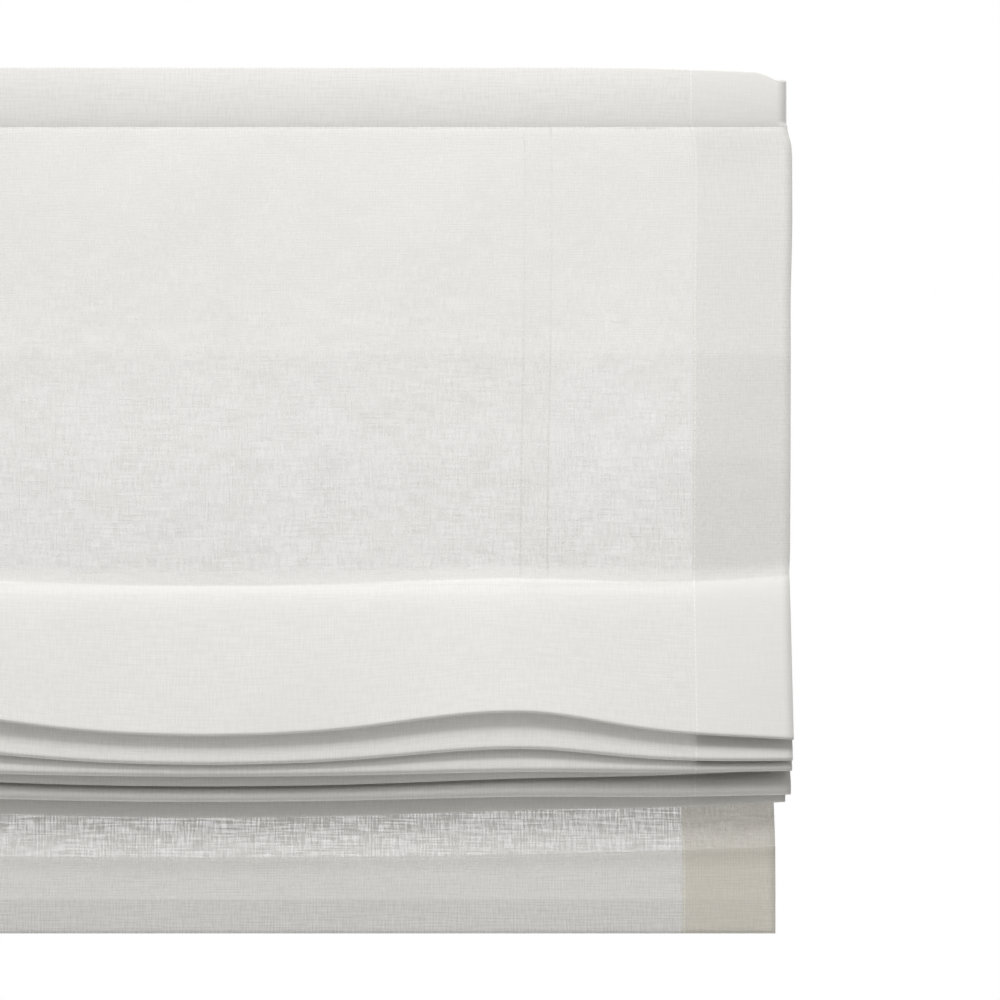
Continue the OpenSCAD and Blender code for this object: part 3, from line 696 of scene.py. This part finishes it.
def webbing():
    """Sheer woven lift tape, closer along its two edges."""
    n = Nodes("webbing")
    flat = flat_mm(n)
    across = n.math("ABSOLUTE", n.add("SeparateXYZ", {0: flat}).outputs[0])
    edge = n.spread(across, 8.2, 9.2)
    rib = n.stripes(flat, "Y", 0.9, 0.4, 0.2)
    yarn = n.stripes(flat, "X", 1.3, 0.6, 0.2)
    weave = n.math("MULTIPLY_ADD", rib, 0.6, n.math("MULTIPLY", yarn, 0.4))
    grime = n.noise(n.scaled(flat, 0.08, 0.02), 1.0, 3.0, 0.6)
    shade = n.math("MULTIPLY_ADD", grime, 0.5, n.math("MULTIPLY", weave, 0.5))
    colour = n.mix(shade, linear(214, 212, 204), linear(240, 239, 234))
    border = n.math("MULTIPLY", edge, n.math("MULTIPLY_ADD", rib, 0.7, 0.25))
    alpha = n.math("MULTIPLY_ADD", weave, 0.18, border, clamp=True)
    bump = n.bump(weave, 0.15 * MM, 0.8)
    return n.finish(n.principled(colour, 0.85, Alpha=alpha, Sheen_Weight=0.1, Normal=bump))


def strip_weave(name, loop_scale, waver, loop_share, row_share):
    """Sew-on strip: a woven ground under loops or rows of small hooks, with painted shade darkening the low
    places between them.
    """
    n = Nodes(name)
    place = object_mm(n)
    loops = n.noise(place, loop_scale, 4.0, 0.7)
    rows = n.stripes(place, "Z", 1.4, waver, 0.3)
    height = n.math("MULTIPLY_ADD", loops, loop_share, n.math("MULTIPLY", rows, row_share))
    # painted shade: darker where the loops and hook rows sit low
    colour = n.mix(height, linear(208, 207, 202), linear(244, 244, 241))
    return n.finish(n.principled(colour, 0.9, Normal=n.bump(height, 0.4 * MM, 0.8)))


def moulded(name, colour, roughness, wear=0.05):
    """Moulded plastic: faint mottling, fine grain and slightly rubbed edges."""
    n = Nodes(name)
    place = object_mm(n)
    mottle = n.noise(place, 0.08, 3.0, 0.55)
    grain = n.noise(place, 3.0, 2.0, 0.5)
    dark = tuple(c * (1 - 2.2 * wear) for c in colour)
    rubbed = tuple(min(1, c * 1.12 + 0.02) for c in colour)
    edge = n.spread(n.add("NewGeometry").outputs["Pointiness"], 0.5, 0.56)
    base = n.mix(n.spread(mottle, 0.35, 0.65), dark, colour)
    base = n.mix(n.math("MULTIPLY", edge, 0.35), base, rubbed)
    rough = n.math("MULTIPLY_ADD", mottle, 0.18, roughness - 0.09)
    return n.finish(n.principled(base, rough, Normal=n.bump(grain, 0.03 * MM, 0.5)))


def powder_coat():
    """White paint with a fine orange peel and a little dust."""
    n = Nodes("powder_coat")
    place = object_mm(n)
    peel = n.noise(place, 0.9, 2.0, 0.4)
    dust = n.noise(n.scaled(place, 0.01, 0.05, 0.05), 1.0, 3.0, 0.6)
    colour = n.mix(n.spread(dust, 0.35, 0.7), linear(233, 233, 230), linear(222, 221, 215))
    rough = n.math("MULTIPLY_ADD", peel, 0.15, 0.38)
    return n.finish(n.principled(colour, rough, Normal=n.bump(peel, 0.06 * MM, 0.5)))


def metal(name, colour, roughness, grain):
    """Metal with drawn lines along the blind and faint clouding."""
    n = Nodes(name)
    place = object_mm(n)
    lines = n.noise(n.scaled(place, *grain), 1.0, 3.0, 0.6)
    cloud = n.noise(place, 0.06, 2.0, 0.5)
    base = n.mix(cloud, tuple(c * 0.86 for c in colour), colour)
    rough = n.math("MULTIPLY_ADD", lines, 0.22, roughness - 0.11)
    return n.finish(n.principled(base, rough, Metallic=1.0, Normal=n.bump(lines, 0.02 * MM, 0.6)))


def zinc_plate():
    """Zinc-plated steel, with its crystals and stains."""
    n = Nodes("zinc_plate")
    place = object_mm(n)
    flake = n.add("TexVoronoi", {"Vector": place, "Scale": 0.35}, feature="F1").outputs["Color"]
    level = n.add("RGBToBW", {0: flake}).outputs[0]
    stain = n.noise(place, 0.12, 3.0, 0.6)
    shade = n.math("MULTIPLY_ADD", level, 0.5, n.math("MULTIPLY", stain, 0.5))
    base = n.mix(shade, linear(176, 178, 181), linear(212, 214, 217))
    rough = n.math("MULTIPLY_ADD", level, 0.2, 0.28)
    return n.finish(n.principled(base, rough, Metallic=1.0))


def pultruded():
    """Glass-fibre rod, with fibres along it."""
    n = Nodes("pultruded")
    place = object_mm(n)
    fibre = n.noise(n.scaled(place, 0.02, 2.5, 2.5), 1.0, 3.0, 0.6)
    colour = n.mix(fibre, linear(224, 223, 214), linear(244, 243, 238))
    return n.finish(n.principled(colour, 0.32, Normal=n.bump(fibre, 0.03 * MM, 0.5)))


def finish_nodes():
    """Gives each hard node of the part the finish of its material slot, and the two sewn strips theirs."""
    finishes = {
        "rail": powder_coat(),
        "white_plastic": moulded("white_plastic", linear(236, 236, 232), 0.42),
        "grey_plastic": moulded("grey_plastic", linear(196, 198, 200), 0.45),
        "dark_plastic": moulded("dark_plastic", linear(62, 64, 68), 0.5, 0.1),
        "clear_plastic": moulded("milky_plastic", linear(232, 233, 232), 0.25),
        "fibreglass": pultruded(),
        "steel": metal("bright_steel", linear(196, 198, 202), 0.3, (0.05, 2, 2)),
        "zinc_steel": zinc_plate(),
        "bar_metal": metal("mill_aluminium", linear(236, 236, 235), 0.42, (0.03, 1.5, 1.5)),
    }
    strips = {
        "hook_strip": strip_weave("hook_weave", 0.9, 0.05, 0.3, 0.8),
        "loop_strip": strip_weave("loop_weave", 1.6, 0.5, 0.9, 0.2),
    }
    for part in frame["record"]["subparts"]:
        name = part["node"]
        finish = strips.get(name) or finishes.get(part["material_slot"])
        if finish:
            obj = frame["nodes"][name]
            obj.data.materials.clear()
            obj.data.materials.append(finish)


# Pockets and tapes

NECK = 0.8 * MM
PAST_CLOTH = 3
TAPE_CORE_R = 5.6 * MM
TAPE_TURNS = 12
TURN_STEPS = 40
TAPE_IN_GUIDE = 1.9 * MM
TAPE_LEAN = 2 * MM
TAPE_WAVER = 0.6 * MM


def add_pockets(material):
    """A narrow tube of cloth round each batten, sewn to the panel along its neck."""
    for i, c in enumerate(BATTENS, 1):
        lo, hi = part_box(f"batten_pocket_{i}")
        r = hi.y - c.y
        xs = np.linspace(lo.x, hi.x, 160)
        tube = []
        for a in np.radians(np.linspace(196, 524, 25)):
            height, size, seed = PUFF
            puff = 1 + waves(xs, a * 0.01 + i, height, size, seed + i)
            tube.append(np.stack([xs, c.y + r * puff * math.cos(a), c.z + r * puff * math.sin(a)], axis=-1))
        neck = np.stack([xs, np.full_like(xs, lo.y), np.full_like(xs, c.z - NECK / 2)], axis=-1)
        tail = np.stack([xs, np.full_like(xs, lo.y), np.full_like(xs, c.z + NECK / 2)], axis=-1)
        points = np.array([tail, *tube, neck])
        step = np.linalg.norm(np.diff(points, axis=0), axis=-1)
        along = np.concatenate([np.zeros((1, len(xs))), np.cumsum(step, axis=0)])
        uv = np.stack([np.broadcast_to(xs, along.shape), along + PAST_CLOTH + i * 0.1], axis=-1)
        pocket = mesh_object(f"pocket_{i}", points, uv, material)
        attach(pocket, f"stack_{i}")
        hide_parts(f"batten_pocket_{i}")


def ribbon(name, middle, width, material, start=0.0):
    """A flat tape along middle, a list of (x, y, z) points, its width along X."""
    middle = np.array(middle, float)
    across = np.linspace(-width / 2, width / 2, 7)
    points = np.stack([middle + np.array([a, 0, 0]) for a in across], axis=1)
    step = np.linalg.norm(np.diff(middle, axis=0), axis=1)
    along = start + np.concatenate([[0], np.cumsum(step)])
    uv = np.stack(np.broadcast_arrays(across[None, :], along[:, None]), axis=-1)
    obj = mesh_object(name, points, uv, material)
    return obj, along[-1]


def add_tapes(material):
    """Each lift tape: its turns on the spool, its fall behind the cloth and its links between battens."""
    shaft = centre("lift_shaft")
    for side, sign in (("left", -1), ("right", 1)):
        node = f"lift_tape_{side}"
        lo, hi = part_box(node)
        x, width = (lo.x + hi.x) / 2, hi.x - lo.x
        pack_r = hi.y - shaft.y
        spiral = []
        for k in range(TAPE_TURNS * TURN_STEPS + 1):
            a = 2 * math.pi * k / TURN_STEPS
            r = TAPE_CORE_R + (pack_r - TAPE_CORE_R) * k / (TAPE_TURNS * TURN_STEPS)
            spiral.append((x, shaft.y + r * math.cos(a), shaft.z + r * math.sin(a)))
        roll, _ = ribbon(f"tape_roll_{side}", spiral, width, material)
        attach(roll, "shaft")
        floor_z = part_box("headrail")[0].z
        tape_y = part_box("tape_guides_1")[1].y - TAPE_IN_GUIDE
        lean = TAPE_LEAN * sign
        lead = [
            (x, shaft.y - pack_r * 0.78, shaft.z - pack_r * 0.62),
            (x + lean / 2, tape_y, floor_z + 3 * MM),
            (x + lean, tape_y, floor_z - 1 * MM),
            (x + lean, tape_y, SEAM_Z),
        ]
        piece, at = ribbon(f"tape_lead_{side}", lead, width, material)
        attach(piece, "root")
        drop = []
        for t in np.linspace(0, 1, 40):
            z = SEAM_Z + (BATTEN_Z[0] - SEAM_Z) * t
            drop.append((x + lean * (1 - smooth(t)) + TAPE_WAVER * math.sin(5 * t), tape_y, z))
        piece, at = ribbon(f"tape_drop_{side}", drop, width, material, at)
        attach(piece, "root")
        follow_stack(piece)
        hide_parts(node)
        shift = TAPE_WAVER * math.sin(5)
        for i in range(1, PLEATS + 1):
            z0, z1 = BATTEN_Z[i - 1], BATTEN_Z[i]
            link = [(x + shift, tape_y, z0 + (z1 - z0) * t) for t in np.linspace(0, 1, 9)]
            if i == PLEATS:
                link.append((x + shift, tape_y, lo.z))
            piece, at = ribbon(f"tape_link_{i}_{side}", link, width, material, at)
            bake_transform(piece)


# Stage


FLOOR_HALF = 3
FLOOR_Z = -2.1
FLOOR_FADES = (300, 2300)
SKY = {1: 0.0, 2: 0.6, 3: 0.05, 4: 0.64}


def add_light(name, place, aim, size, watts):
    data = bpy.data.lights.new(name, "AREA")
    data.shape = "DISK"
    data.size = size
    data.energy = watts
    lamp = bpy.data.objects.new(name, data)
    lamp.location = place
    lamp.rotation_euler = (Vector(aim) - Vector(place)).to_track_quat("-Z", "Y").to_euler()
    scene.collection.objects.link(lamp)


def add_world():
    """White where it is seen, and a soft warm fill from above for everything else."""
    scene.world = bpy.data.worlds.new("studio")
    n = Nodes("studio", scene.world)
    height = n.add("SeparateXYZ", {0: n.add("TexCoord").outputs["Generated"]}).outputs[2]
    sky = n.add("MapRange", {0: height, **SKY}).outputs[0]
    soft = n.add("Background", {"Color": (1, 0.965, 0.92), "Strength": sky})
    white = n.add("Background", {"Color": (1, 1, 1), "Strength": 1.0})
    mix = n.add("MixShader", {0: n.background_rays(), 1: soft.outputs[0], 2: white.outputs[0]})
    n.finish(mix.outputs[0], "OutputWorld")


def add_floor():
    """A plain pale floor that fades into the white background away from the blind."""
    n = Nodes("floor")
    place = object_mm(n)
    shade = n.noise(place, 0.002, 2.0, 0.5)
    pale = n.principled(n.mix(shade, linear(240, 240, 240), linear(246, 246, 246)), 0.9)
    away = n.add("VectorMath", {0: n.scaled(place, 1, 1)}, operation="LENGTH").outputs["Value"]
    white = n.add("Emission", {"Color": (1, 1, 1), "Strength": 1.0})
    faded = n.math("MULTIPLY", n.spread(away, *FLOOR_FADES), n.background_rays())
    material = n.finish(n.add("MixShader", {0: faded, 1: pale, 2: white.outputs[0]}).outputs[0])
    mesh = bpy.data.meshes.new("floor")
    corners = [(x * FLOOR_HALF, y * FLOOR_HALF, FLOOR_Z) for x, y in ((-1, -1), (1, -1), (1, 1), (-1, 1))]
    mesh.from_pydata(corners, [], [(0, 1, 2, 3)])
    mesh.materials.append(material)
    floor = bpy.data.objects.new("floor", mesh)
    scene.collection.objects.link(floor)


def add_stage():
    add_world()
    add_light("key", (0.1, -1.08, 1.62), (0.1, 0, -0.3), 0.9, 44.5)
    add_light("rear", (-0.4, 1.7, 1.5), (0, 0, -0.25), 1.6, 45)
    add_floor()


add_camera()
linen_material, places = linen()
webbing_material = webbing()
starts = add_cloth(linen_material)
for piece, node in places.items():
    node.outputs[0].default_value = starts[piece] / MM
add_pockets(linen_material)
add_tapes(webbing_material)
finish_nodes()
add_stage()
bpy.context.view_layer.update()
